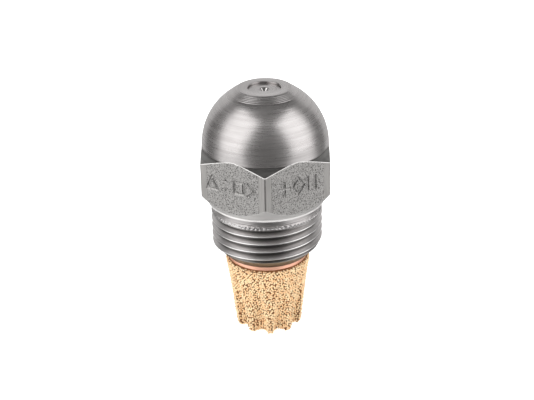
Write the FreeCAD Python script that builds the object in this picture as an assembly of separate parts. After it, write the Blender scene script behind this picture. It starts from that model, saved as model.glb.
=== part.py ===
import FreeCAD, Part
import math
import os

from FreeCAD import Vector

# Oil burner nozzle, millimetres. The origin is the centre of the filter's lower end, with +Z up through
# the filter, the thread, the hexagon and the domed nose. A corner of the hexagon points to -Y, and two of
# its flats face -X and +X.

inch = 25.4
overlap = 0.2  # how far a cutting tool reaches past the surface that it opens
running_gap = 0.03  # play around a piece that slides or turns in its bore
thread_gap = 0.08  # play between a screw's crests and the bore that holds it

# Heights of the outside, from the filter's lower end
filter_top = 10.1
ring_thickness = 0.65
body_bottom = filter_top + ring_thickness
thread_bottom = 12.55
neck_bottom = 17.05
collar_bottom = 18.15
collar_top = 18.4
hex_bottom = 20.45
dome_base = 25.55
dome_centre = 25.6
nose_top = 32.95

# Radii of the outside
rear_end_r = 5.4
adapter_thread_r = 7.10
neck_r = 6.75
collar_r = 7.45
hex_across_flats = 5 / 8 * inch
corner_r = 9.12
dome_r = 7.945
nose_flat_r = 3.3
nose_band_r = 4.4
corner_chamfer_deg = 33.0

# Threads
adapter_pitch = inch / 24
inner_pitch = 0.75
thread_half_angle_deg = 30.0
thread_depth_per_pitch = 0.613
root_flat_per_pitch = 1 / 8
mouth_clearance_per_pitch = 0.04  # a groove's V goes on past the crest by this much
crest_front_height = 16.0  # a crest of the adapter thread crosses the -Y side at this height

# Inside of the body
rear_bore_r = 4.03
rear_bore_top = 15.6
main_bore_r = 3.5
bore_lead = 0.35
disc_shoulder = 31.2
nose_hole_r = 2.05
recess_depth = 0.28

# Orifice disc
disc_bottom = 28.2
disc_seat_r = 3.05
swirl_chamber_r = 0.65
swirl_chamber_depth = 0.45
orifice_r = 0.125
countersink_r = 0.665

# Distributor
distributor_bottom = 23.6
barrel_top = 27.5
barrel_across_flats = 5.9
groove_r = 2.45
cone_tip_r = 0.55
cone_play = 0.06
slot_count = 6
slot_length = 4.0
slot_width = 0.4
slot_depth = 0.3
slot_offset = 0.75

# Lock screw
screw_bottom = 17.6
screw_neck_bottom = 21.9
screw_neck_r = 2.3
screw_bore_r = 1.2
cross_hole_r = 0.5
cross_hole_height = 22.65
cross_hole_count = 4
driver_slot_width = 1.0
driver_slot_depth = 1.3

# Filter, its bush and the sealing ring
filter_outline = [(4.4, 0.5), (4.68, 2.7), (4.99, 5.8), (5.24, 7.9), (5.54, 9.75)]
filter_bottom_r = 4.0
filter_shoulder_r = 5.3
flute_count = 10
flute_r = 0.8
flute_depth = 1.2
flute_top = 8.4
flute_overrun = 2.5
flute_turn_deg = 3.0
cavity_bottom = 1.6
cavity_bottom_r = 1.75
cavity_top_r = 2.55
spigot_r = 3.1
spigot_length = 3.1
spigot_play = 0.02
bush_top = 14.4
bush_bore_r = 1.6
ring_outer_r = 5.15
ring_inner_r = 4.1

origin = Vector(0, 0, 0)
up = Vector(0, 0, 1)


def revolve(wire):
    """Solid of revolution about Z of a closed wire in the XZ plane."""
    return Part.Face(wire).revolve(origin, up, 360)


def turned(outline):
    """Solid of revolution of a straight-sided outline of (radius, height) points."""
    points = [Vector(r, 0, z) for r, z in outline]
    return revolve(Part.makePolygon(points + points[:1]))


def rod(radius, bottom, top):
    return Part.makeCylinder(radius, top - bottom, Vector(0, 0, bottom))


def tube(outer_r, inner_r, bottom, top):
    return rod(outer_r, bottom, top).cut(rod(inner_r, bottom - overlap, top + overlap))


def hex_prism(across_flats, bottom, top):
    """Hexagonal prism with corners on the Y axis and flats across X."""
    outer = across_flats / math.sqrt(3)
    angles = [math.radians(30 + 60 * i) for i in range(6)]
    corners = [Vector(outer * math.cos(a), outer * math.sin(a), bottom) for a in angles]
    face = Part.Face(Part.makePolygon(corners + corners[:1]))
    return face.extrude(Vector(0, 0, top - bottom))


def around(tool, count, turn_deg=0.0):
    """Copies of a tool evenly spaced about Z."""
    copies = []
    for i in range(count):
        copy = tool.copy()
        copy.rotate(origin, up, turn_deg + 360 * i / count)
        copies.append(copy)
    return copies


def thread_groove(crest_r, pitch, bottom, top, front_crest=None):
    """Right-hand V groove that leaves a thread when it is cut from a rod of the crest radius.

    It starts on the +X side at the bottom height, or lower by the part of a turn that brings a crest to the
    -Y side at the height front_crest.
    """
    start = bottom
    if front_crest is not None:
        half_turn_up = front_crest + pitch / 2
        groove_at_x = half_turn_up + pitch / 4
        start = groove_at_x - math.ceil((groove_at_x - bottom) / pitch) * pitch
    depth = thread_depth_per_pitch * pitch
    clear = mouth_clearance_per_pitch * pitch
    half_root = root_flat_per_pitch * pitch / 2
    half_mouth = half_root + (depth + clear) * math.tan(math.radians(thread_half_angle_deg))
    mouth_r = crest_r + clear
    outline = [
        (crest_r - depth, -half_root),
        (mouth_r, -half_mouth),
        (mouth_r + overlap, -half_mouth),
        (mouth_r + overlap, half_mouth),
        (mouth_r, half_mouth),
        (crest_r - depth, half_root),
    ]
    points = [Vector(r, 0, start + z) for r, z in outline]
    helix = Part.makeLongHelix(pitch, top - start, crest_r)
    helix.translate(Vector(0, 0, start))
    profile = Part.makePolygon(points + points[:1])
    groove = Part.Wire(helix.Edges).makePipeShell([profile], True, True)
    if groove.Volume < 0:
        groove.reverse()
    return groove


def body_blank():
    """Outside of the body as it is turned, before the hexagon is milled."""
    dome_base_r = math.sqrt(dome_r**2 - (dome_base - dome_centre)**2)
    corner_top = dome_base - (corner_r - dome_base_r) * math.tan(math.radians(corner_chamfer_deg))
    band_height = dome_centre + math.sqrt(dome_r**2 - nose_band_r**2)
    middle = math.atan2(band_height - dome_centre, nose_band_r) / 2
    dome_middle = Vector(dome_r * math.cos(middle), 0, dome_centre + dome_r * math.sin(middle))
    outline = [
        (0, nose_top),
        (0, body_bottom),
        (rear_end_r, body_bottom),
        (adapter_thread_r, thread_bottom),
        (adapter_thread_r, neck_bottom),
        (neck_r, neck_bottom + adapter_thread_r - neck_r),
        (neck_r, collar_bottom),
        (collar_r, collar_bottom),
        (collar_r, collar_top),
        (corner_r, hex_bottom),
        (corner_r, corner_top),
        (dome_base_r, dome_base),
    ]
    side = Part.makePolygon([Vector(r, 0, z) for r, z in outline])
    band = Vector(nose_band_r, 0, band_height)
    flat = Vector(nose_flat_r, 0, nose_top)
    dome = Part.Arc(side.Vertexes[-1].Point, dome_middle, band).toShape()
    nose = Part.makePolygon([band, flat, Vector(0, 0, nose_top)])
    return revolve(Part.Wire(side.Edges + [dome] + nose.Edges))


def body_bore():
    """Stepped bore of the body, as a solid to cut away."""
    return turned([
        (0, body_bottom - overlap),
        (rear_bore_r + bore_lead + overlap, body_bottom - overlap),
        (rear_bore_r, body_bottom + bore_lead),
        (rear_bore_r, rear_bore_top),
        (main_bore_r, rear_bore_top + bore_lead),
        (main_bore_r, disc_shoulder),
        (nose_hole_r, disc_shoulder),
        (nose_hole_r, nose_top + overlap),
        (0, nose_top + overlap),
    ])


def nozzle_body():
    """Casing: domed nose, hexagon, collar, neck, adapter thread and bevelled rear end, in one piece."""
    body = body_blank().common(hex_prism(hex_across_flats, 0, nose_top + overlap))
    body = body.cut(body_bore())
    groove_bottom = body_bottom - adapter_pitch
    return body.cut(
        thread_groove(adapter_thread_r, adapter_pitch, groove_bottom, neck_bottom, crest_front_height)
    )


def orifice_disc():
    """Insert with a conical seat behind, the spray hole, and a countersink in its front face."""
    front = nose_top - recess_depth
    seat_top = disc_bottom + disc_seat_r - swirl_chamber_r
    chamber_top = seat_top + swirl_chamber_depth
    blank = turned([
        (0, disc_bottom),
        (main_bore_r - running_gap, disc_bottom),
        (main_bore_r - running_gap, disc_shoulder),
        (nose_hole_r - running_gap, disc_shoulder),
        (nose_hole_r - running_gap, front),
        (0, front),
    ])
    passage = turned([
        (0, disc_bottom - overlap),
        (disc_seat_r + overlap, disc_bottom - overlap),
        (swirl_chamber_r, seat_top),
        (swirl_chamber_r, chamber_top),
        (orifice_r, chamber_top + swirl_chamber_r - orifice_r),
        (orifice_r, front - countersink_r + orifice_r),
        (countersink_r + overlap, front + overlap),
        (0, front + overlap),
    ])
    return blank.cut(passage)


def distributor():
    """Swirl plug: hexagonal barrel, relief groove, and a 45 degree cone with tangential slots."""
    cone_base_r = disc_seat_r - running_gap
    cone_top = disc_bottom + cone_base_r - cone_tip_r - cone_play
    barrel = turned([
        (0, distributor_bottom),
        (main_bore_r - thread_gap, distributor_bottom),
        (main_bore_r - thread_gap, barrel_top),
        (0, barrel_top),
    ])
    flats = hex_prism(barrel_across_flats, distributor_bottom - overlap, barrel_top + overlap)
    tip = turned([
        (0, barrel_top),
        (groove_r, barrel_top),
        (groove_r, disc_bottom - cone_play - cone_base_r + groove_r),
        (cone_base_r - cone_play, disc_bottom - cone_play),
        (cone_tip_r, cone_top),
        (0, cone_top),
    ])
    slot = Part.makeBox(
        slot_length,
        slot_width,
        slot_depth + overlap,
        Vector(-slot_length / 2, -slot_width / 2, -slot_depth),
    )
    slot.rotate(origin, Vector(0, 1, 0), 45)
    middle_r = (cone_base_r + cone_tip_r) / 2
    slot.translate(Vector(middle_r, slot_offset, disc_bottom + cone_base_r - middle_r))
    return barrel.common(flats).fuse(tip).removeSplitter().cut(around(slot, slot_count))


def lock_screw():
    """Threaded plug with a driver slot, an axial hole, and cross holes to the space around the distributor."""
    crest_r = main_bore_r - thread_gap
    screw = turned([
        (0, screw_bottom),
        (crest_r, screw_bottom),
        (crest_r, screw_neck_bottom),
        (screw_neck_r, screw_neck_bottom),
        (screw_neck_r, distributor_bottom),
        (0, distributor_bottom),
    ])
    axial = rod(screw_bore_r, screw_bottom - overlap, cross_hole_height + cross_hole_r)
    slot = Part.makeBox(
        2 * main_bore_r,
        driver_slot_width,
        driver_slot_depth + overlap,
        Vector(-main_bore_r, -driver_slot_width / 2, screw_bottom - overlap),
    )
    cross = Part.makeCylinder(cross_hole_r, main_bore_r, Vector(0, 0, cross_hole_height), Vector(1, 0, 0))
    groove_top = screw_neck_bottom + inner_pitch
    groove = thread_groove(crest_r, inner_pitch, screw_bottom - inner_pitch, groove_top)
    return screw.cut([groove, axial, slot] + around(cross, cross_hole_count, 45))


def filter_bush():
    """Threaded bush: the thread holds it in the body, the spigot is pressed into the filter's mouth."""
    crest_r = rear_bore_r - thread_gap
    bush = turned([
        (0, filter_top - spigot_length),
        (spigot_r, filter_top - spigot_length),
        (spigot_r, filter_top),
        (crest_r, filter_top),
        (crest_r, bush_top),
        (0, bush_top),
    ])
    bore = rod(bush_bore_r, filter_top - spigot_length - overlap, bush_top + overlap)
    slot = Part.makeBox(
        2 * rear_bore_r,
        driver_slot_width,
        driver_slot_width + overlap,
        Vector(-rear_bore_r, -driver_slot_width / 2, bush_top - driver_slot_width),
    )
    groove = thread_groove(crest_r, inner_pitch, body_bottom + inner_pitch / 2, bush_top + inner_pitch)
    return bush.cut([groove, bore, slot])


def seal_ring():
    return tube(ring_outer_r, ring_inner_r, filter_top, body_bottom)


def sinter_filter():
    """Tapered porous cup with flutes that run out half way up."""
    bottom = [(0, 0), (filter_bottom_r, 0)]
    top = [(filter_shoulder_r, filter_top), (0, filter_top)]
    cup = turned(bottom + filter_outline + top)
    mouth_r = spigot_r + spigot_play
    mouth_bottom = filter_top - spigot_length - spigot_play
    cavity = turned([
        (0, cavity_bottom),
        (cavity_bottom_r, cavity_bottom),
        (cavity_top_r, mouth_bottom),
        (mouth_r, mouth_bottom),
        (mouth_r, filter_top + overlap),
        (0, filter_top + overlap),
    ])
    low = Vector(0, filter_outline[0][0] - flute_depth + flute_r, 0)
    high = Vector(0, filter_outline[-2][0] + flute_r, flute_top)
    length = (high - low).Length
    along = (high - low) / length
    flute = Part.makeCylinder(flute_r, length + 2 * flute_overrun, low - along * flute_overrun, along)
    lobe_to_front = 180 + 180 / flute_count
    return cup.cut([cavity] + around(flute, flute_count, lobe_to_front + flute_turn_deg))


pieces = {
    "nozzle_body": nozzle_body,
    "orifice_disc": orifice_disc,
    "distributor": distributor,
    "lock_screw": lock_screw,
    "filter_bush": filter_bush,
    "seal_ring": seal_ring,
    "sinter_filter": sinter_filter,
}

os.makedirs("parts", exist_ok=True)
for name, make in pieces.items():
    shape = make()
    shape.exportStep(f"parts/{name}.step")
    print(name, len(shape.Solids), "solid, valid", shape.isValid(), "volume", round(shape.Volume, 2))
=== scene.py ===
import math

import bpy
import numpy as np
from mathutils import Matrix, Vector
from mathutils.kdtree import KDTree


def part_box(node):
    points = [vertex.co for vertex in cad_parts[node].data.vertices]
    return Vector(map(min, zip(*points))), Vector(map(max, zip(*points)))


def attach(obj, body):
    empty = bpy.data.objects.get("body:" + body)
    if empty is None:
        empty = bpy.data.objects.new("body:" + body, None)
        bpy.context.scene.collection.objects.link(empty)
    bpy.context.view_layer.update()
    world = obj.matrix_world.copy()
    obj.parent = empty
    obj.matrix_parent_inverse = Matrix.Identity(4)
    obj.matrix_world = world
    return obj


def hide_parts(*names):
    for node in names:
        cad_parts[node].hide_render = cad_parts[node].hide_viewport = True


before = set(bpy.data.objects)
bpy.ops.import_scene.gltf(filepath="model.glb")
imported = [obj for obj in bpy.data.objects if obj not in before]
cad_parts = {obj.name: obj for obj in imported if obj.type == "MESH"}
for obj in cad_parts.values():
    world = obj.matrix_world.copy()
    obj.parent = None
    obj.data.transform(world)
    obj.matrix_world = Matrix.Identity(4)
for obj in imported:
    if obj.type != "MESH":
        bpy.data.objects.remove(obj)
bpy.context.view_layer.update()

mm = 0.001
turn = 2 * math.pi

# ---- places taken from the frame, in millimetres


def boxOf(node):
    low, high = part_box(node)
    return np.array(low) / mm, np.array(high) / mm


bodyLow, bodyHigh = boxOf("nozzle_body")
discLow, discHigh = boxOf("orifice_disc")
ringLow, ringHigh = boxOf("seal_ring")
filterLow, filterHigh = boxOf("sinter_filter")
bushLow = boxOf("filter_bush")[0]

# the casing; heights are measured down from the nose flat, or up from the rear end
casing = {
    "flatHalf": bodyHigh[0],
    "cornerR": bodyHigh[1],
    "noseTop": bodyHigh[2],
    "rearEnd": bodyLow[2],
    "domeR": 7.945,
    "domeDrop": 7.35,  # nose flat to the dome's centre
    "creaseDrop": 7.40,
    "noseFlatR": 3.3,
    "noseBandR": 4.4,
    "noseRidges": 12,
    "ridgeHeight": 0.016,
    "chamferDeg": 33.0,
    "hexRise": 9.70,  # rear end to the hexagon's lower corners
    "collarTopRise": 7.65,
    "collarRise": 7.40,
    "collarR": 7.45,
    "neckR": 6.75,
    "threadRise": 6.30,
    "threadR": 7.10,
    "bevelRise": 1.80,
    "bevelR": 5.4,
    "boreR": 3.5,
    "rearBoreR": 4.03,
    "rearBoreRise": 4.85,
    "stepRise": 5.2,
    "shoulderDrop": 1.75,
    "holeR": 2.05,
}

# ---- shader maths


class Value:
    # wraps a socket; arithmetic on it adds Math nodes

    def __init__(self, paint, socket):
        self.paint = paint
        self.socket = socket

    def join(self, operation, other, swap=False):
        pair = (other, self) if swap else (self, other)
        return self.paint.node("ShaderNodeMath", {"operation": operation}, {0: pair[0], 1: pair[1]})

    def __add__(self, other):
        return self.join("ADD", other)

    def __radd__(self, other):
        return self.join("ADD", other, True)

    def __sub__(self, other):
        return self.join("SUBTRACT", other)

    def __rsub__(self, other):
        return self.join("SUBTRACT", other, True)

    def __mul__(self, other):
        return self.join("MULTIPLY", other)

    def __rmul__(self, other):
        return self.join("MULTIPLY", other, True)

    def __truediv__(self, other):
        return self.join("DIVIDE", other)

    def __rtruediv__(self, other):
        return self.join("DIVIDE", other, True)

    def __pow__(self, other):
        return self.join("POWER", other)

    def __mod__(self, other):
        return self.join("FLOORED_MODULO", other)

    def __abs__(self):
        return self.join("ABSOLUTE", 0.0)


class Paint:
    # one material's node tree

    def __init__(self, name):
        self.material = bpy.data.materials.new(name)
        self.material.use_nodes = True
        self.tree = self.material.node_tree
        self.tree.nodes.clear()

    def node(self, kind, settings=None, inputs=None, output=0):
        made = self.tree.nodes.new(kind)
        for key, value in (settings or {}).items():
            if key == "stops":
                ramp = made.color_ramp
                for i, (place, colour) in enumerate(value):
                    stop = ramp.elements[i] if i < 2 else ramp.elements.new(place)
                    stop.position = place
                    stop.color = colour
            else:
                setattr(made, key, value)
        for key, value in (inputs or {}).items():
            if isinstance(value, Value):
                self.tree.links.new(value.socket, made.inputs[key])
            else:
                made.inputs[key].default_value = value
        return None if output is None else Value(self, made.outputs[output])

    def place(self):
        # object coordinates in millimetres: the vector, then x, y and z
        here = self.node("ShaderNodeTexCoord", output="Object")
        scaled = self.node("ShaderNodeVectorMath", {"operation": "SCALE"}, {0: here, "Scale": 1 / mm})
        apart = self.node("ShaderNodeSeparateXYZ", inputs={0: scaled})
        sockets = apart.socket.node.outputs
        return scaled, Value(self, sockets[0]), Value(self, sockets[1]), Value(self, sockets[2])

    def vector(self, x, y, z):
        return self.node("ShaderNodeCombineXYZ", inputs={0: x, 1: y, 2: z})

    def noise(self, where, scale, detail=2.0, roughness=0.5):
        inputs = {"Vector": where, "Scale": scale, "Detail": detail, "Roughness": roughness}
        return self.node("ShaderNodeTexNoise", {"noise_dimensions": "3D"}, inputs)

    def cells(self, where, scale, feature="F1", output="Distance"):
        settings = {"voronoi_dimensions": "3D", "feature": feature}
        return self.node("ShaderNodeTexVoronoi", settings, {"Vector": where, "Scale": scale}, output)

    def remap(self, value, low, high, toLow=0.0, toHigh=1.0):
        inputs = {"Value": value, "From Min": low, "From Max": high, "To Min": toLow, "To Max": toHigh}
        return self.node("ShaderNodeMapRange", {"interpolation_type": "SMOOTHSTEP"}, inputs)

    def blend(self, factor, a, b, mode="MIX"):
        settings = {"data_type": "RGBA", "blend_type": mode}
        return self.node("ShaderNodeMix", settings, {0: factor, 6: a, 7: b}, 2)

    def bump(self, height, distance, strength=1.0, under=None):
        inputs = {"Height": height, "Distance": distance * mm, "Strength": strength}
        if under is not None:
            inputs["Normal"] = under
        return self.node("ShaderNodeBump", inputs=inputs)

    def finish(self, inputs):
        shader = self.node("ShaderNodeBsdfPrincipled", inputs=inputs)
        self.node("ShaderNodeOutputMaterial", inputs={"Surface": shader}, output=None)
        return self.material


def grey(level, warm=0.0):
    return (level * (1 + warm), level, level * (1 - warm), 1.0)


# ---- materials

turnedFinish = {
    "light": (0.63, 0.605, 0.60, 1.0),
    "dark": (0.51, 0.485, 0.48, 1.0),
    "smudge": grey(0.40, 0.03),
    # painted shade: the dark grey laid into the thread roots and over the shank's rear bevel
    "paintedShadeGrey": grey(0.19, 0.03),
    # painted highlight: the near-white grey laid on the thread crests
    "paintedHighlight": grey(0.93, 0.01),
    # painted shade: black laid inside the orifice hole
    "paintedHoleShade": grey(0.01),
    "roughness": 0.275,
    "metal": 1.0,
    "grooveSpacing": 0.11,  # mm between the tool's marks
    "grooveDepth": 0.0035,
    "paintedShadeRadii": None,  # radii between which the painted shade fades out, shaded inside and plain outside
    "paintedShadeHeights": None,  # heights likewise, shaded below and plain above
    "polished": None,  # inside this radius the surface is polished
    "hole": None,  # inside this radius it is painted black, as painted shade in the orifice hole
    "paintedHighlightR": None,  # outside this radius it is painted bright, a painted highlight on the thread crests
}


def turnedSteel(name, look, centre):
    # tool marks run round the axis: track = angle seen from centre * dome radius / spacing
    paint = Paint(name)
    where, x, y, z = paint.place()
    radius = (x * x + y * y) ** 0.5
    polar = paint.node("ShaderNodeMath", {"operation": "ARCTAN2"}, {0: radius, 1: z - centre})
    track = polar * (casing["domeR"] / look["grooveSpacing"])
    along = paint.vector(track, x * 0.25, y * 0.25)
    marks = paint.noise(along, 1.0, 2.0, 0.6)
    broad = paint.noise(paint.vector(track * 0.22, x * 0.12, y * 0.12), 1.0, 1.0)
    smudge = paint.noise(where, 0.35, 3.0, 0.6)
    tone = paint.remap(marks * 0.55 + broad * 0.45, 0.32, 0.68)
    base = paint.blend(tone, look["dark"], look["light"])
    base = paint.blend(paint.remap(smudge, 0.35, 0.75, 0.0, 0.18), base, look["smudge"])
    # painted shade: darker in the thread roots, and darker towards the rear end
    for reading, span in ((radius, look["paintedShadeRadii"]), (z, look["paintedShadeHeights"])):
        if span:
            base = paint.blend(paint.remap(reading, span[0], span[1]), look["paintedShadeGrey"], base)
    # painted highlight on the thread crests
    if look["paintedHighlightR"]:
        crest = paint.remap(radius, look["paintedHighlightR"] - 0.02, look["paintedHighlightR"] + 0.02)
        base = paint.blend(crest, base, look["paintedHighlight"])
    rough = look["roughness"] + 0.10 * marks + 0.08 * smudge - 0.08
    if look["polished"]:
        hole, edge = look["hole"], look["polished"]
        # painted shade: black in the orifice hole and on its rim
        base = paint.blend(paint.remap(radius, hole * 0.9, hole * 1.3), look["paintedHoleShade"], base)
        rough = rough * paint.remap(radius, edge * 0.97, edge * 1.03, 0.3, 1.0)
    normal = paint.bump(marks, look["grooveDepth"])
    normal = paint.bump(broad, look["grooveDepth"] * 2.0, under=normal)
    return paint.finish({
        "Base Color": base,
        "Metallic": look["metal"],
        "Roughness": rough,
        "Anisotropic": 0.55,
        "Normal": normal,
    })


grainFinish = {
    "light": grey(0.47, 0.025),
    "dark": grey(0.07, 0.03),
    "cloud": grey(0.44, 0.03),
    "rubbed": grey(0.43, 0.03),
    "rubbedDark": grey(0.37, 0.03),
    "line": grey(0.13, 0.08),
    "roughness": 0.42,
    "grainPerMm": 6.0,
    "grainDepth": 0.016,
    "grainHalf": 3.62,  # the grain covers this much either side of a face's middle
    "lineHalf": 0.10,
}


def grainedSteel(name, look):
    # fine pits over a cloudy grey, but rubbed smooth beside the corners;
    # across = radius * sin(angle off the face's middle)
    paint = Paint(name)
    where, x, y, z = paint.place()
    angle = paint.node("ShaderNodeMath", {"operation": "ARCTAN2"}, {0: y, 1: x})
    off = (angle + math.pi / 6) % (math.pi / 3) - math.pi / 6
    across = abs(((x * x + y * y) ** 0.5) * paint.node("ShaderNodeMath", {"operation": "SINE"}, {0: off}))
    wander = paint.noise(paint.vector(x, y, z * 0.4), 0.8, 2.0) * 0.3
    edge = across + wander
    rubbed = paint.remap(edge, look["grainHalf"] + 0.1, look["grainHalf"] + 0.3)
    line = 1.0 - paint.remap(abs(across - (look["grainHalf"] + 0.05)), 0.0, look["lineHalf"])
    patchy = paint.remap(paint.noise(where, 1.4, 3.0, 0.7), 0.4, 0.6)
    pits = paint.noise(where, look["grainPerMm"], 2.0, 0.65)
    fine = paint.cells(where, look["grainPerMm"] * 1.3)
    cloud = paint.noise(where, 0.6, 3.0, 0.55)
    streak = paint.noise(paint.vector(x * 7.0, y * 7.0, z * 0.35), 1.0, 2.0)
    speck = paint.remap(pits * 0.7 + fine * 0.45, 0.40, 0.64)
    base = paint.blend(speck, look["dark"], look["light"])
    base = paint.blend(paint.remap(cloud, 0.3, 0.7, 0.0, 0.2), base, look["cloud"])
    smooth = paint.blend(paint.remap(streak, 0.35, 0.65), look["rubbedDark"], look["rubbed"])
    base = paint.blend(rubbed, base, smooth)
    base = paint.blend(line * patchy * 0.45, base, look["line"])
    rough = look["roughness"] + 0.12 * pits
    height = pits * (1.0 - rubbed * 0.85)
    normal = paint.bump(height, look["grainDepth"])
    normal = paint.bump(fine * (1.0 - rubbed * 0.9), look["grainDepth"] * 0.6, under=normal)
    return paint.finish({"Base Color": base, "Metallic": 1.0, "Roughness": rough, "Normal": normal})


copperFinish = {
    "light": (0.95, 0.56, 0.41, 1),
    "dark": (0.86, 0.43, 0.29, 1),
    "stain": (0.60, 0.28, 0.19, 1),
    "metal": 0.6,
    "roughness": 0.3,
}


def copper(name, look):
    # rolled strip: marks along the ring and a few brown stains
    paint = Paint(name)
    where, x, y, z = paint.place()
    marks = paint.noise(paint.vector(x * 0.4, y * 0.4, z * 12.0), 1.0, 2.0)
    stain = paint.noise(where, 0.9, 3.0)
    base = paint.blend(paint.remap(marks, 0.3, 0.7), look["dark"], look["light"])
    base = paint.blend(paint.remap(stain, 0.55, 0.8, 0.0, 0.3), base, look["stain"])
    return paint.finish({
        "Base Color": base,
        "Metallic": look["metal"],
        "Roughness": look["roughness"] + 0.15 * marks,
        "Normal": paint.bump(marks, 0.004),
    })


brassFinish = {
    "light": (0.86, 0.66, 0.34, 1),
    "dark": (0.62, 0.42, 0.17, 1),
    "roughness": 0.25,
}


def brass(name, look):
    # bar-turned inserts: rings along the axis and a slight oil haze
    paint = Paint(name)
    where, x, y, z = paint.place()
    rings = paint.noise(paint.vector(x * 0.2, y * 0.2, z * 9.0), 1.0, 2.0)
    haze = paint.noise(where, 0.7, 3.0)
    base = paint.blend(paint.remap(rings * 0.6 + haze * 0.4, 0.35, 0.65), look["dark"], look["light"])
    return paint.finish({
        "Base Color": base,
        "Metallic": 1.0,
        "Roughness": look["roughness"] + 0.15 * haze,
        "Normal": paint.bump(rings, 0.004),
    })


bronzeFinish = {
    "high": (0.98, 0.78, 0.50, 1),
    "low": (0.91, 0.60, 0.33, 1),
    # painted shade with some oxide: the dark brown where beads meet and on the wall behind them
    "gapShadeAndOxide": (0.20, 0.085, 0.03, 1),
    "crumb": (0.42, 0.2, 0.09, 1),
    "metal": 0.3,
    "roughness": 0.28,
}


def beadBronze(name, look):
    # tone differs from bead to bead; crown is 1 on the outside of a bead and 0 where it meets the next
    # ones, where it is painted dark as shade, partly oxide
    paint = Paint(name)
    where, x, y, z = paint.place()
    tone = paint.node("ShaderNodeAttribute", {"attribute_name": "tone"}, output="Fac")
    crown = paint.node("ShaderNodeAttribute", {"attribute_name": "crown"}, output="Fac")
    skin = paint.noise(where, 9.0, 2.0)
    gold = paint.blend(paint.remap(tone * 0.75 + skin * 0.25, 0.1, 0.9), look["low"], look["high"])
    # painted shade, partly oxide: dark brown where the beads meet
    base = paint.blend(paint.remap(crown, 0.22, 0.68), look["gapShadeAndOxide"], gold)
    return paint.finish({
        "Base Color": base,
        "Metallic": look["metal"],
        "Roughness": look["roughness"] + 0.2 * skin,
        "Normal": paint.bump(skin, 0.01),
    })


def wallShadeBronze(name, look):
    # the wall behind the beads: painted dark as the shade in the pores, partly oxide, with crumbs of metal
    paint = Paint(name)
    where, x, y, z = paint.place()
    crumbs = paint.noise(where, 5.0, 3.0)
    base = paint.blend(paint.remap(crumbs, 0.35, 0.7), look["gapShadeAndOxide"], look["crumb"])
    return paint.finish({
        "Base Color": base,
        "Metallic": 0.5,
        "Roughness": 0.6,
        "Normal": paint.bump(crumbs, 0.05),
    })


def paleFloor(name, strength):
    paint = Paint(name)
    where, x, y, z = paint.place()
    tooth = paint.noise(where, 1.5, 2.0)
    base = paint.blend(tooth, grey(0.88), grey(0.90))
    glow = {"Emission Color": (1, 1, 1, 1), "Emission Strength": strength}
    return paint.finish({"Base Color": base, "Roughness": 0.75, **glow})


# ---- surfaces


def addMesh(name, points, quads, *materials):
    # points in millimetres; quads are rows of four point numbers, counter-clockwise seen from outside
    mesh = bpy.data.meshes.new(name)
    mesh.vertices.add(len(points))
    mesh.vertices.foreach_set("co", (points * mm).astype(np.float32).ravel())
    mesh.loops.add(quads.size)
    mesh.loops.foreach_set("vertex_index", quads.astype(np.int32).ravel())
    mesh.polygons.add(len(quads))
    mesh.polygons.foreach_set("loop_start", np.arange(0, quads.size, 4, dtype=np.int32))
    mesh.polygons.foreach_set("use_smooth", np.ones(len(quads), bool))
    mesh.update(calc_edges=True)
    mesh.validate()
    for material in materials:
        mesh.materials.append(material)
    piece = bpy.data.objects.new(name, mesh)
    bpy.context.scene.collection.objects.link(piece)
    return piece


def loopQuads(rows, columns):
    # quads of a grid that closes on itself both ways
    row = np.arange(rows)[:, None]
    column = np.arange(columns)[None, :]
    nextRow = (row + 1) % rows
    nextColumn = (column + 1) % columns
    corners = [row * columns + column, row * columns + nextColumn]
    corners += [nextRow * columns + nextColumn, nextRow * columns + column]
    return np.stack([c.ravel() for c in corners], axis=1)


def ringSolid(name, radius, height, angle, *materials):
    # a closed ring: point (i, j) stands at angle j, radius[i, j] and height[i, j]
    points = np.stack([radius * np.cos(angle), radius * np.sin(angle), height], axis=-1)
    rows, columns = radius.shape
    return addMesh(name, points.reshape(-1, 3), loopQuads(rows, columns), *materials)


def roundedLoop(corners, columns, roundSteps=5):
    # corners: (radius, height, rounding, cuts to the next corner); a radius or height may differ by column
    count = len(corners)
    spot = np.zeros((count, columns, 2))
    for i, corner in enumerate(corners):
        spot[i, :, 0] = corner[0]
        spot[i, :, 1] = corner[1]
    rounding = np.array([corner[2] for corner in corners])[:, None, None]
    back = np.roll(spot, 1, axis=0) - spot
    ahead = np.roll(spot, -1, axis=0) - spot
    backLong = np.linalg.norm(back, axis=2, keepdims=True) + 1e-9
    aheadLong = np.linalg.norm(ahead, axis=2, keepdims=True) + 1e-9
    reach = np.minimum(rounding, 0.45 * np.minimum(backLong, aheadLong))
    enter = spot + back / backLong * reach
    leave = spot + ahead / aheadLong * reach
    rows = []
    for i, corner in enumerate(corners):
        steps = np.linspace(0, 1, roundSteps) if corner[2] > 0 else [0.5]
        for t in steps:
            rows.append((1 - t) ** 2 * enter[i] + 2 * t * (1 - t) * spot[i] + t * t * leave[i])
        goal = enter[(i + 1) % count]
        start = rows[-1]
        for k in range(1, corner[3]):
            rows.append(start + (goal - start) * (k / corner[3]))
    grid = np.array(rows)
    return grid[..., 0], grid[..., 1]


def smoothStep(value, low, high):
    t = np.clip((value - low) / (high - low), 0, 1)
    return t * t * (3 - 2 * t)


def wavy(angle, seed, waves=9, low=3, high=60):
    # a repeatable wobble round the axis: a sum of sines of whole numbers of waves
    rng = np.random.default_rng(seed)
    numbers = rng.integers(low, high, waves)
    phases = rng.uniform(0, turn, waves)
    return sum(np.sin(n * angle + p) for n, p in zip(numbers, phases)) / math.sqrt(waves)


# ---- casing: dome, hexagon and threaded shank, which meet on the crease and at the neck

edgeRound = 0.07


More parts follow.
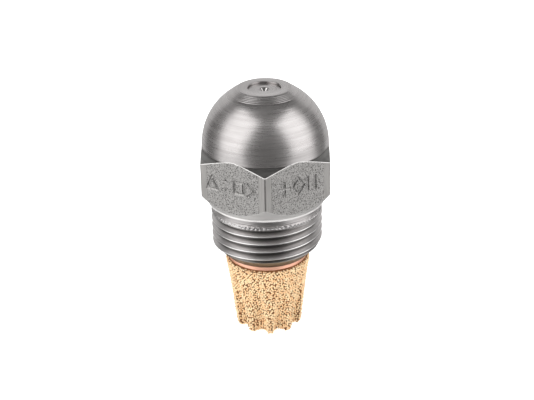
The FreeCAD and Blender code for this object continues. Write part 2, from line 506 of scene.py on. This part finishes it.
def makeDome(material):
    columns = 360
    c = casing
    angle = np.linspace(0, turn, columns, endpoint=False)
    centre = c["noseTop"] - c["domeDrop"]
    crease = c["noseTop"] - c["creaseDrop"]
    bandPolar = math.asin(c["noseBandR"] / c["domeR"])
    lowPolar = math.pi / 2 + math.asin((centre - crease) / c["domeR"])
    polar = np.linspace(lowPolar, bandPolar, 90)
    off = angle - np.round(angle / (math.pi / 3)) * (math.pi / 3)
    flat = c["flatHalf"] / np.cos(off) - 0.004
    corners = []
    for p in polar:
        swell = np.minimum(c["domeR"] * math.sin(p), flat)
        corners.append((swell, centre + c["domeR"] * math.cos(p), 0, 1))
    bandHeight = centre + c["domeR"] * math.cos(bandPolar)
    for k in range(1, c["noseRidges"]):
        # fine ridges across the band, each pushed in or out along the band's normal
        t = k / c["noseRidges"]
        ridge = c["ridgeHeight"] * (-1) ** k
        bandR = c["noseBandR"] + (c["noseFlatR"] - c["noseBandR"]) * t + ridge * 0.55
        corners.append((bandR, bandHeight + (c["noseTop"] - bandHeight) * t + ridge * 0.83, 0, 2))
    corners += [
        (c["noseFlatR"], c["noseTop"], 0.05, 6),
        (c["holeR"] + 0.06, c["noseTop"], 0.04, 2),
        (c["holeR"], c["noseTop"] - 0.06, 0.03, 4),
        (c["holeR"], c["noseTop"] - c["shoulderDrop"], 0, 4),
        (c["boreR"], c["noseTop"] - c["shoulderDrop"], 0, 8),
        (c["boreR"], crease, 0, 6),
    ]
    radius, height = roundedLoop(corners, columns)
    return ringSolid("nozzleDome", radius, height, angle, material)


stamps = {
    "depth": 0.09,
    "halfWidth": 0.15,
    "lip": 0.022,
    "size": 1.05,  # half the height of a mark
    "leftFace": -120.0,  # where the faces' normals point, in degrees
    "rightFace": -60.0,
    "left": ["triangle", "dots", "square", "chevron"],
    "right": ["cross", "diamond", "bars"],
    "spacing": 1.9,
    "height": 22.75,
}

# the strokes of the marks, as straight runs between points in half-heights
markShapes = {
    "triangle": [((-0.75, -0.8), (0.75, -0.8)), ((0.75, -0.8), (0, 0.9)), ((0, 0.9), (-0.75, -0.8))],
    "square": [
        ((-0.6, -0.7), (0.6, -0.7)),
        ((0.6, -0.7), (0.6, 0.7)),
        ((0.6, 0.7), (-0.6, 0.7)),
        ((-0.6, 0.7), (-0.6, -0.7)),
    ],
    "chevron": [((-0.6, -0.8), (0.3, 0)), ((0.3, 0), (-0.6, 0.8))],
    "dots": [((0, -0.6), (0, -0.6)), ((0, 0.6), (0, 0.6))],
    "cross": [((-0.7, 0), (0.7, 0)), ((0, -0.8), (0, 0.8))],
    "diamond": [((0, -1), (0.75, 0)), ((0.75, 0), (0, 1)), ((0, 1), (-0.75, 0)), ((-0.75, 0), (0, -1))],
    "bars": [((-0.5, -0.8), (-0.5, 0.8)), ((0.5, -0.8), (0.5, 0.8))],
}


def strokeDistance(across, up, start, end):
    # distance from each point to a straight stroke
    run = np.array(end, float) - np.array(start, float)
    length = max(float(run @ run), 1e-9)
    t = np.clip(((across - start[0]) * run[0] + (up - start[1]) * run[1]) / length, 0, 1)
    return np.hypot(across - start[0] - t * run[0], up - start[1] - t * run[1])


def stampDepth(across, height, marks):
    # how far the punch pushed the face in, with a slight raised lip beside each stroke
    nearest = np.full(across.shape, 9.0)
    for i, mark in enumerate(marks):
        middle = (i - (len(marks) - 1) / 2) * stamps["spacing"]
        for start, end in markShapes[mark]:
            s, e = (np.array(p) * stamps["size"] for p in (start, end))
            s = s + [middle, 0]
            e = e + [middle, 0]
            nearest = np.minimum(nearest, strokeDistance(across, height - stamps["height"], s, e))
    half = stamps["halfWidth"]
    sunk = stamps["depth"] * (1 - smoothStep(nearest, half * 0.35, half * 1.1))
    lip = stamps["lip"] * np.exp(-(((nearest - half * 1.5) / (half * 0.4)) ** 2))
    return sunk - lip


hexMesh = {
    "markedColumns": 150,
    "plainColumns": 56,
    "cornerColumns": 17,
    "faceRows": 84,
    "overlap": 0.05,  # how far the upper chamfer runs on inside the dome
    "edgeBand": 0.05,
    "edgeInset": 0.03,
}


def makeHexagon(*materials):
    # materials: faces, upper chamfer (painted darker, as painted shade), lower chamfer and collar, and a
    # painted highlight on the faces' top edges and the collar
    # radius = half width / cos(angle off the face), or past that a round of radius roundR centred roundAt;
    # the faces end above on arcs, height = peak - drop * (radius - half width)**0.6 scaled to the corner;
    # the lower chamfer is a cone, and a thin collar stands under it
    c = casing
    crease = c["noseTop"] - c["creaseDrop"]
    centre = c["noseTop"] - c["domeDrop"]
    collarTop = c["rearEnd"] + c["collarTopRise"]
    collar = c["rearEnd"] + c["collarRise"]
    hexLow = c["rearEnd"] + c["hexRise"]
    sharp = c["flatHalf"] / math.cos(math.pi / 6)
    roundR = (sharp - c["cornerR"]) / (1 / math.cos(math.pi / 6) - 1)
    roundAt = sharp - roundR / math.cos(math.pi / 6)
    halfFace = sharp / 2 - roundR * math.tan(math.pi / 6)
    cornerAngle = math.atan(halfFace / c["flatHalf"])
    angles = []
    for face in range(6):
        normal = math.radians(60 * face - 180)
        marked = any(abs(60 * face - 180 - stamps[k]) < 1 for k in ("leftFace", "rightFace"))
        count = hexMesh["markedColumns" if marked else "plainColumns"]
        across = np.linspace(-halfFace, halfFace, count)
        corner = np.linspace(cornerAngle, math.pi / 3 - cornerAngle, hexMesh["cornerColumns"])[1:-1]
        angles += [normal + np.arctan(across / c["flatHalf"]), normal + corner]
    angle = np.concatenate(angles)
    off = angle - np.round(angle / (math.pi / 3)) * (math.pi / 3)
    past = math.pi / 6 - np.abs(off)
    bow = roundAt * np.cos(past) + np.sqrt(np.maximum(roundR**2 - (roundAt * np.sin(past)) ** 2, 0))
    reach = np.where(np.abs(off) < cornerAngle, c["flatHalf"] / np.cos(off), bow)
    rise = math.tan(math.radians(c["chamferDeg"]))
    peak = centre + math.sqrt(c["domeR"] ** 2 - c["flatHalf"] ** 2)
    drop = peak - (crease - (c["cornerR"] - c["domeR"]) * rise)
    beyond = np.maximum(reach - c["flatHalf"], 0) / (c["cornerR"] - c["flatHalf"])
    faceTop = peak - drop * beyond**0.6
    lowSlope = (hexLow - collarTop) / (c["cornerR"] - c["collarR"])
    faceBottom = hexLow - (c["cornerR"] - reach) * lowSlope
    within = np.minimum(reach, c["domeR"]) - hexMesh["overlap"]
    corners = [
        (c["collarR"], collar, 0.05, 3),
        (c["collarR"], collarTop, 0.06, 10),
        (reach, faceBottom, edgeRound, hexMesh["faceRows"]),
        (reach, faceTop, edgeRound, 8),
        (within, np.maximum(crease, faceTop) + hexMesh["overlap"] * rise, 0, 8),
        (c["boreR"], crease, 0, 8),
        (c["boreR"], collar, 0, 8),
    ]
    radius, height = roundedLoop(corners, len(angle))
    outside = radius > c["flatHalf"] - 0.02
    for side in ("left", "right"):
        normal = math.radians(stamps[side + "Face"])
        off = (angle - normal + math.pi) % turn - math.pi
        here = outside & (np.abs(off) < cornerAngle)
        across = c["flatHalf"] * np.tan(np.clip(off, -1, 1)) * np.ones_like(height)
        sunk = np.where(here, stampDepth(across, height, stamps[side]), 0)
        radius = radius - sunk / np.cos(np.clip(off, -1, 1))
    piece = ringSolid("nozzleHexagon", radius, height, angle, *materials)
    outer = radius[:-1] > reach - 0.25
    level = (height[1:] + height[:-1]) / 2
    inset = hexMesh["edgeInset"]
    onFace = outer & (level > faceBottom + inset) & (level < faceTop - inset)
    finish = np.where(onFace, 0, np.where(level < faceBottom + inset, 2, 1))
    # painted highlight: rows along the faces' top edges and on the collar get the light, less metallic edge
    # steel
    paintedHighlightRows = (outer & (np.abs(level - faceTop + inset) < hexMesh["edgeBand"])) | (level < collarTop)
    finish = np.where(paintedHighlightRows, 3, finish)
    finish = np.concatenate([finish, np.ones((1, len(angle)), int)])
    piece.data.polygons.foreach_set("material_index", finish.ravel().astype(np.int32))
    return piece


threadCut = {
    "pitch": 25.4 / 24,
    "depth": 0.613,  # of a pitch
    "crestFlat": 0.05,  # of a pitch
    "frontCrest": 5.15,  # a crest crosses the -Y side this far above the rear end
    "burr": 0.10,
    "burrFrom": (0.5, 0.1),  # below the thread's top the burrs grow between these
    "burrTo": (0.15, 0.4),  # and above it they fade out between these
    "fade": (0.75, 0.1),  # the groove runs out from this far below the top to this far above it
}


def makeShank(material):
    # radius = crest - depth * V(height / pitch - turns), less than the bevel's cone, fading out at the neck
    c = casing
    t = threadCut
    columns = 450
    angle = np.linspace(0, turn, columns, endpoint=False)
    collar = c["rearEnd"] + c["collarRise"] + 0.1
    threadTop = c["rearEnd"] + c["threadRise"]
    bevelTop = c["rearEnd"] + c["bevelRise"]
    corners = [
        (c["bevelR"], c["rearEnd"], 0.05, 34),
        (c["threadR"], bevelTop, 0.0, 128),
        (c["threadR"], threadTop, 0.0, 6),
        (c["neckR"], threadTop + c["threadR"] - c["neckR"], 0.06, 12),
        (c["neckR"], collar, 0, 6),
        (c["boreR"], collar, 0, 4),
        (c["boreR"], c["rearEnd"] + c["stepRise"], 0, 2),
        (c["rearBoreR"], c["rearEnd"] + c["rearBoreRise"], 0, 4),
        (c["rearBoreR"], c["rearEnd"] + 0.35, 0, 2),
        (c["rearBoreR"] + 0.35, c["rearEnd"], 0.05, 3),
    ]
    radius, height = roundedLoop(corners, columns)
    pitch = t["pitch"]
    turns = (height - c["rearEnd"] - t["frontCrest"]) / pitch - (angle + math.pi / 2) / turn
    away = np.abs(turns - np.round(turns))  # 0 on a crest, 0.5 in a root
    half = t["crestFlat"] / 2
    vee = np.clip((away - half) / (0.5 - 2 * half), 0, 1)
    root = t["depth"] * pitch
    fade = 1 - smoothStep(height, threadTop - t["fade"][0], threadTop + t["fade"][1])
    groove = c["threadR"] - root * vee * fade
    torn = smoothStep(height, threadTop - t["burrFrom"][0], threadTop - t["burrFrom"][1])
    torn = torn * (1 - smoothStep(height, threadTop + t["burrTo"][0], threadTop + t["burrTo"][1]))
    groove = groove - t["burr"] * torn * (0.7 + wavy(angle + height * 2, 7, 16, 20, 110))
    outside = (radius > c["bevelR"] - 0.02) & (height < threadTop + 0.5)
    radius = np.where(outside, np.minimum(radius, groove), radius)
    return ringSolid("nozzleShank", radius, height, angle, material)


insertShape = {
    "play": 0.03,
    "holeR": 0.125,
    "sinkR": 0.665,
    "seatR": 3.05,
    "chamberR": 0.65,
    "chamberDepth": 0.45,
}


def makeInsert(material):
    # the orifice disc: a seat cone behind, a fine hole, and a countersink in the front face
    columns = 200
    c = casing
    angle = np.linspace(0, turn, columns, endpoint=False)
    front = discHigh[2]
    back = discLow[2]
    shoulder = c["noseTop"] - c["shoulderDrop"]
    outer = discHigh[0]
    nose = c["holeR"] - insertShape["play"]
    holeR = insertShape["holeR"]
    sinkR = insertShape["sinkR"]
    seatR = insertShape["seatR"]
    chamberR = insertShape["chamberR"]
    seatTop = back + seatR - chamberR
    chamberTop = seatTop + insertShape["chamberDepth"]
    corners = [
        (outer, back, 0.05, 6),
        (outer, shoulder, 0.04, 4),
        (nose, shoulder, 0.0, 8),
        (nose, front, 0.05, 10),
        (sinkR, front, 0.05, 12),
        (holeR, front - sinkR + holeR, 0.02, 4),
        (holeR, chamberTop + chamberR - holeR, 0.02, 4),
        (chamberR, chamberTop, 0.03, 4),
        (chamberR, seatTop, 0.03, 10),
        (seatR, back, 0.03, 4),
    ]
    radius, height = roundedLoop(corners, columns)
    return ringSolid("orificeInsert", radius, height, angle, material)


ringShape = {
    "columns": 256,
    "outerRound": 0.14,
    "innerRound": 0.1,
    "play": 0.07,
    "waviness": 0.006,
    "shrink": 0.012,  # keeps the waves inside the ring's true radius
}


def makeCopperRing(material):
    r = ringShape
    angle = np.linspace(0, turn, r["columns"], endpoint=False)
    outer = ringHigh[0]
    inner = casing["rearBoreR"] + r["play"]
    corners = [
        (outer, ringLow[2], r["outerRound"], 4),
        (outer, ringHigh[2], r["outerRound"], 5),
        (inner, ringHigh[2], r["innerRound"], 3),
        (inner, ringLow[2], r["innerRound"], 5),
    ]
    radius, height = roundedLoop(corners, r["columns"])
    radius = radius + r["waviness"] * wavy(angle, 21, 8, 2, 24) * (radius > outer - 0.2) - r["shrink"]
    return ringSolid("copperRing", radius, height, angle, material)


# ---- sintered filter

filterShape = {
    "outline": [(0.0, 4.0), (0.5, 4.4), (2.7, 4.68), (5.8, 4.99), (7.9, 5.24), (9.75, 5.54), (10.1, 5.3)],
    "flutes": 10,
    "fluteR": 0.8,
    "fluteDepth": 1.2,
    "fluteTop": 8.4,
    "fluteTurn": 3.0,
    "soften": 0.07,
    "beadR": 0.166,
    "beadSpacing": 0.235,
    "inset": 0.15,  # the beads' centres lie this far inside the filter's outline
    "wallInset": 0.1,  # and the wall behind them this much further
    "mouthR": 3.12,
    "cavityTopR": 2.55,
    "cavityBottomR": 1.75,
    "cavityBottom": 1.6,
    "sideTries": 40000,
    "baseTries": 9000,
    "brimTries": 4000,
    "brim": (3.3, 5.3),
}


def filterRadius(angle, height, inset=0.0):
    # the tapered outline, less the flutes: tilted round grooves that run out half way up
    f = filterShape
    spots = np.array(f["outline"])
    outer = np.interp(height, spots[:, 0], spots[:, 1]) - inset
    low = spots[1, 1] - f["fluteDepth"] + f["fluteR"]
    high = spots[-3, 1] + f["fluteR"]
    middle = low + (high - low) * height / f["fluteTop"]
    step = turn / f["flutes"]
    first = -math.pi / 2 + math.radians(f["fluteTurn"]) + step / 2
    off = (angle - first + step / 2) % step - step / 2
    side = middle * np.sin(off)
    width = f["fluteR"] + inset
    inside = width**2 - side**2
    groove = np.where(inside > 0, middle * np.cos(off) - np.sqrt(np.maximum(inside, 0)), 99.0)
    soft = f["soften"]
    return -soft * np.logaddexp(-outer / soft, -groove / soft)


def makeFilterCore(material):
    # the porous wall behind the beads, as a cup, painted dark as the shade between them
    columns = 400
    angle = np.linspace(0, turn, columns, endpoint=False)
    f = filterShape
    inset = f["inset"] + f["wallInset"]
    bottom = filterLow[2] + inset
    top = filterHigh[2] - 0.02
    levels = np.linspace(bottom, top - inset, 70)
    rows = [(0.02, bottom, 0, 6)]
    rows += [(filterRadius(angle, np.full(columns, h), inset), h, 0, 1) for h in levels]
    mouthBottom = bushLow[2] - 0.02
    rows += [
        (filterRadius(angle, np.full(columns, top - inset), inset) - 0.15, top, 0, 3),
        (f["mouthR"], top, 0, 6),
        (f["mouthR"], mouthBottom, 0, 2),
        (f["cavityTopR"], mouthBottom, 0, 6),
        (f["cavityBottomR"], f["cavityBottom"], 0, 4),
        (0.02, f["cavityBottom"], 0, 1),
    ]
    radius, height = roundedLoop(rows, columns)
    return ringSolid("filterCore", radius, height, angle, material)


def beadCentres():
    # candidates spread evenly over the skin, then thinned so that none is nearer than the spacing
    rng = np.random.default_rng(11)
    f = filterShape
    inset = f["inset"]
    low, high = filterLow[2] + inset, filterHigh[2] - inset - 0.05
    count = f["sideTries"]
    angle = rng.uniform(0, turn, count)
    height = rng.uniform(low, high, count)
    radius = filterRadius(angle, height, inset)
    side = np.stack([radius * np.cos(angle), radius * np.sin(angle), height], axis=1)
    count = f["baseTries"]
    angle = rng.uniform(0, turn, count)
    span = rng.uniform(0.0, 1.0, count) ** 0.5
    under = filterRadius(angle, np.full(count, low), inset) * span
    base = np.stack([under * np.cos(angle), under * np.sin(angle), np.full(count, low)], axis=1)
    count = f["brimTries"]
    span = rng.uniform(f["brim"][0] ** 2, f["brim"][1] ** 2, count) ** 0.5
    angle = rng.uniform(0, turn, count)
    brim = np.stack([span * np.cos(angle), span * np.sin(angle), np.full(count, high)], axis=1)
    spots = np.concatenate([side, base, brim])
    tree = KDTree(len(spots))
    for i, spot in enumerate(spots):
        tree.insert(spot, i)
    tree.balance()
    alive = np.ones(len(spots), bool)
    for i, spot in enumerate(spots):
        if alive[i]:
            near = [j for _, j, _ in tree.find_range(spot, f["beadSpacing"]) if j > i]
            alive[near] = False
    return spots[alive], rng


def skinNormals(spots):
    # outward directions by differences of the filter's radius; straight down under the base, up on the brim
    angle = np.arctan2(spots[:, 1], spots[:, 0])
    height = spots[:, 2]
    inset = filterShape["inset"]
    step = 0.02
    here = filterRadius(angle, height, inset)
    roundward = filterRadius(angle + step, height, inset) - filterRadius(angle - step, height, inset)
    upward = filterRadius(angle, height + step, inset) - filterRadius(angle, height - step, inset)
    out = np.stack([np.cos(angle), np.sin(angle), np.zeros_like(angle)], axis=1)
    sideways = np.stack([-np.sin(angle), np.cos(angle), np.zeros_like(angle)], axis=1)
    normal = out - sideways * (roundward / (2 * step * here))[:, None]
    normal[:, 2] -= upward / (2 * step)
    within = np.hypot(spots[:, 0], spots[:, 1]) < here - 0.05
    normal[within] = [0, 0, -1]
    normal[within & (height > 5)] = [0, 0, 1]
    return normal / np.linalg.norm(normal, axis=1, keepdims=True)


def roundBead():
    # a cube's faces cut in four and blown up to a sphere of radius 1: 26 points and 24 quads
    steps = [-1, 0, 1]
    spots = [(x, y, z) for x in steps for y in steps for z in steps if max(abs(x), abs(y), abs(z)) == 1]
    number = {spot: i for i, spot in enumerate(spots)}
    quads = []
    for axis in range(3):
        for sign in (-1, 1):
            for a in (-1, 0):
                for b in (-1, 0):
                    around = [(a, b), (a + 1, b), (a + 1, b + 1), (a, b + 1)]
                    if sign < 0:
                        around.reverse()
                    corners = []
                    for u, v in around:
                        spot = [0, 0, 0]
                        spot[axis] = sign
                        spot[(axis + 1) % 3] = u
                        spot[(axis + 2) % 3] = v
                        corners.append(number[tuple(spot)])
                    quads.append(corners)
    spots = np.array(spots, float)
    return spots / np.linalg.norm(spots, axis=1, keepdims=True), np.array(quads)


def randomTurns(rng, count):
    # rotation matrices from random unit quaternions
    q = rng.normal(size=(count, 4))
    w, x, y, z = (q / np.linalg.norm(q, axis=1, keepdims=True)).T
    rows = [
        [1 - 2 * (y * y + z * z), 2 * (x * y - w * z), 2 * (x * z + w * y)],
        [2 * (x * y + w * z), 1 - 2 * (x * x + z * z), 2 * (y * z - w * x)],
        [2 * (x * z - w * y), 2 * (y * z + w * x), 1 - 2 * (x * x + y * y)],
    ]
    return np.array(rows).transpose(2, 0, 1)


def makeBeads(material):
    # every bead is a small rounded grain, sunk to a slightly different depth in the wall
    f = filterShape
    centres, rng = beadCentres()
    count = len(centres)
    normals = skinNormals(centres)
    size = f["beadR"] * rng.uniform(0.84, 1.0, count)
    sink = rng.uniform(0.0, 0.05, count) + (size - f["inset"]).clip(0)
    centres = centres - normals * sink[:, None]
    bead, quads = roundBead()
    shape = np.einsum("nij,kj->nki", randomTurns(rng, count), bead)
    points = centres[:, None, :] + shape * size[:, None, None]
    points[..., 2] = np.clip(points[..., 2], filterLow[2], filterHigh[2])
    crown = np.einsum("nki,ni->nk", shape, normals) * 0.5 + 0.5
    tone = rng.uniform(0, 1, count)
    upper = centres[:, 2] > np.median(centres[:, 2])
    pieces = []
    for name, chosen in (("filterBeadsUpper", upper), ("filterBeadsLower", ~upper)):
        number = int(chosen.sum())
        offset = np.arange(number)[:, None, None] * len(bead)
        faces = (quads[None, :, :] + offset).reshape(-1, 4)
        piece = addMesh(name, points[chosen].reshape(-1, 3), faces, material)
        readings = {"tone": np.repeat(tone[chosen], len(bead)), "crown": crown[chosen].ravel()}
        for label, values in readings.items():
            layer = piece.data.attributes.new(label, "FLOAT", "POINT")
            layer.data.foreach_set("value", values.astype(np.float32))
        pieces.append(piece)
        print(name, number, "beads with", number * len(quads) * 2, "triangles")
    return pieces


# ---- setting

studio = {
    "target": (0.055, 0.0, 17.62),
    "distance": 149.2,
    "elevation": 25.75,
    "azimuth": 1.0,
    "roll": -1.2,
    "focal": 78.7,
    "floorSize": 3000.0,
    "wallR": 1450.0,
    "wallHeight": 1500.0,
    "aimHeight": 22.0,
    "airGlow": 0.17,
    # azimuth, elevation, distance, width, height, glow
    "boxes": {
        "leftBox": (-62, 31, 330, 330, 430, 1.5),
        "leftLow": (-62, -29, 330, 330, 345, 1.0),
        "rightBox": (70, 28, 330, 320, 380, 1.42),
        "rightLow": (70, -29, 330, 320, 345, 0.95),
        "backBox": (180, 4, 500, 1150, 800, 0.58),
        "underBox": (0, -90, 260, 300, 300, 0.55),
        "topBox": (180, 66, 600, 450, 450, 3.0),
        "frontFill": (-8, 20, 420, 360, 300, 2.7),
    },
    "dullBoxes": ["topBox", "frontFill"],  # these light dull surfaces, and metal doesn't mirror them
}


def makeFloor(material):
    half = studio["floorSize"] / 2
    points = np.array([[-half, -half, 0], [half, -half, 0], [half, half, 0], [-half, half, 0]])
    floor = addMesh("floor", points, np.array([[0, 1, 2, 3]]), material)
    floor.visible_glossy = False


def makeWall(material):
    # a pale wall all round, there only to be seen: it neither lights the object nor shades it
    columns = 96
    angle = np.linspace(0, turn, columns, endpoint=False)
    side = np.stack([np.cos(angle), np.sin(angle)], axis=1) * studio["wallR"]
    levels = (-1.0, studio["wallHeight"])
    points = np.concatenate([np.column_stack([side, np.full(columns, level)]) for level in levels])
    here = np.arange(columns)
    ahead = (here + 1) % columns
    quads = np.stack([ahead, here, here + columns, ahead + columns], axis=1)
    wall = addMesh("wall", points, quads, material)
    wall.visible_glossy = False
    wall.visible_diffuse = False
    wall.visible_shadow = False


def makeCamera():
    s = studio
    azimuth = math.radians(s["azimuth"])
    elevation = math.radians(s["elevation"])
    back = Vector((
        math.sin(azimuth) * math.cos(elevation),
        -math.cos(azimuth) * math.cos(elevation),
        math.sin(elevation),
    ))
    right = Vector((math.cos(azimuth), math.sin(azimuth), 0))
    up = back.cross(right)
    roll = math.radians(s["roll"])
    tiltedRight = right * math.cos(roll) + up * math.sin(roll)
    tiltedUp = up * math.cos(roll) - right * math.sin(roll)
    lens = bpy.data.cameras.new("camera")
    lens.lens = s["focal"]
    lens.clip_start = 0.01
    camera = bpy.data.objects.new("camera", lens)
    bpy.context.scene.collection.objects.link(camera)
    place = (Vector(s["target"]) + back * s["distance"]) * mm
    turned = Matrix((tiltedRight, tiltedUp, back)).transposed().to_4x4()
    camera.matrix_world = Matrix.Translation(place) @ turned
    bpy.context.scene.camera = camera


def softBox(name, azimuth, elevation, distance, width, height, glow):
    # azimuth is 0 in front and grows to the right; watts = glow * pi * area gives the panel that brightness
    lamp = bpy.data.lights.new(name, "AREA")
    lamp.shape = "RECTANGLE"
    lamp.size = width * mm
    lamp.size_y = height * mm
    lamp.energy = glow * math.pi * lamp.size * lamp.size_y
    box = bpy.data.objects.new(name, lamp)
    bpy.context.scene.collection.objects.link(box)
    a, e = math.radians(azimuth), math.radians(elevation)
    aim = Vector((math.sin(a) * math.cos(e), -math.cos(a) * math.cos(e), math.sin(e)))
    box.location = (Vector((0, 0, studio["aimHeight"])) + aim * distance) * mm
    box.rotation_mode = "QUATERNION"
    box.rotation_quaternion = aim.to_track_quat("Z", "Y")
    box.visible_camera = False
    box.visible_glossy = name not in studio["dullBoxes"]
    return box


def makeLights():
    for name, values in studio["boxes"].items():
        softBox(name, *values)
    world = bpy.data.worlds.new("studioAir")
    world.use_nodes = True
    air = world.node_tree.nodes["Background"]
    air.inputs["Color"].default_value = (1.0, 0.995, 0.985, 1)
    air.inputs["Strength"].default_value = studio["airGlow"]
    bpy.context.scene.world = world
    bpy.context.scene.view_settings.view_transform = "Standard"


# ---- assembly

makeCamera()
makeLights()
makeFloor(paleFloor("paleFloor", 0.7))
makeWall(paleFloor("paleWall", 0.95))
print("setting made")

domeSteel = turnedSteel("domeSteel", turnedFinish, casing["noseTop"] - casing["domeDrop"])
# and a painted highlight on its thread crests
# the shank gets painted shade in its thread roots and on its rear bevel
shankLook = dict(turnedFinish, roughness=0.30, paintedShadeRadii=(6.42, 6.85), paintedHighlightR=casing["threadR"] - 0.05)
shankLook["paintedShadeHeights"] = (casing["rearEnd"] + 0.2, casing["rearEnd"] + 1.0)
marksCentre = casing["rearEnd"] - 20.0  # from so far back the turning marks lie nearly level
shankSteel = turnedSteel("shankSteel", shankLook, marksCentre)
# painted shade: the upper chamfer's greys are darker than the dome's
paintedShadeChamferLook = dict(turnedFinish, roughness=0.30, light=grey(0.36, 0.02), dark=grey(0.20, 0.02))
paintedShadeChamfer = turnedSteel("paintedShadeChamfer", paintedShadeChamferLook, marksCentre)
collarLook = dict(turnedFinish, roughness=0.42, metal=0.6, light=grey(0.50, 0.02), dark=grey(0.38, 0.02))
collarSteel = turnedSteel("collarSteel", collarLook, marksCentre)
# painted highlight: a lighter, less metallic steel for the hexagon's top edges and its collar
paintedEdgeHighlightLook = dict(turnedFinish, roughness=0.30, metal=0.4, light=grey(0.80, 0.02), dark=grey(0.62, 0.02))
paintedEdgeHighlight = turnedSteel("paintedEdgeHighlight", paintedEdgeHighlightLook, marksCentre)
hexSteel = grainedSteel("hexSteel", grainFinish)
insertLook = dict(turnedFinish, grooveSpacing=0.09, polished=0.67, hole=0.14)
insertSteel = turnedSteel("insertSteel", insertLook, discHigh[2] - 6.0)

hexagon = makeHexagon(hexSteel, paintedShadeChamfer, collarSteel, paintedEdgeHighlight)
for piece in (makeDome(domeSteel), hexagon, makeShank(shankSteel)):
    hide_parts("nozzle_body")
    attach(piece, "nozzle")
insert = makeInsert(insertSteel)
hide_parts("orifice_disc")
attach(insert, "nozzle")
print("casing and orifice insert made")

copperRing = makeCopperRing(copper("ringCopper", copperFinish))
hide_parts("seal_ring")
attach(copperRing, "gasket")

filterCore = makeFilterCore(wallShadeBronze("wallShadeBronze", bronzeFinish))
filterBeads = makeBeads(beadBronze("beadBronze", bronzeFinish))
for piece in [filterCore, *filterBeads]:
    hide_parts("sinter_filter")
    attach(piece, "strainer")
print("ring and filter made")

insideBrass = brass("insideBrass", brassFinish)
for node in ("distributor", "lock_screw", "filter_bush"):
    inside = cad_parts[node]
    inside.data.materials.clear()
    inside.data.materials.append(insideBrass)
print("inside pieces painted")
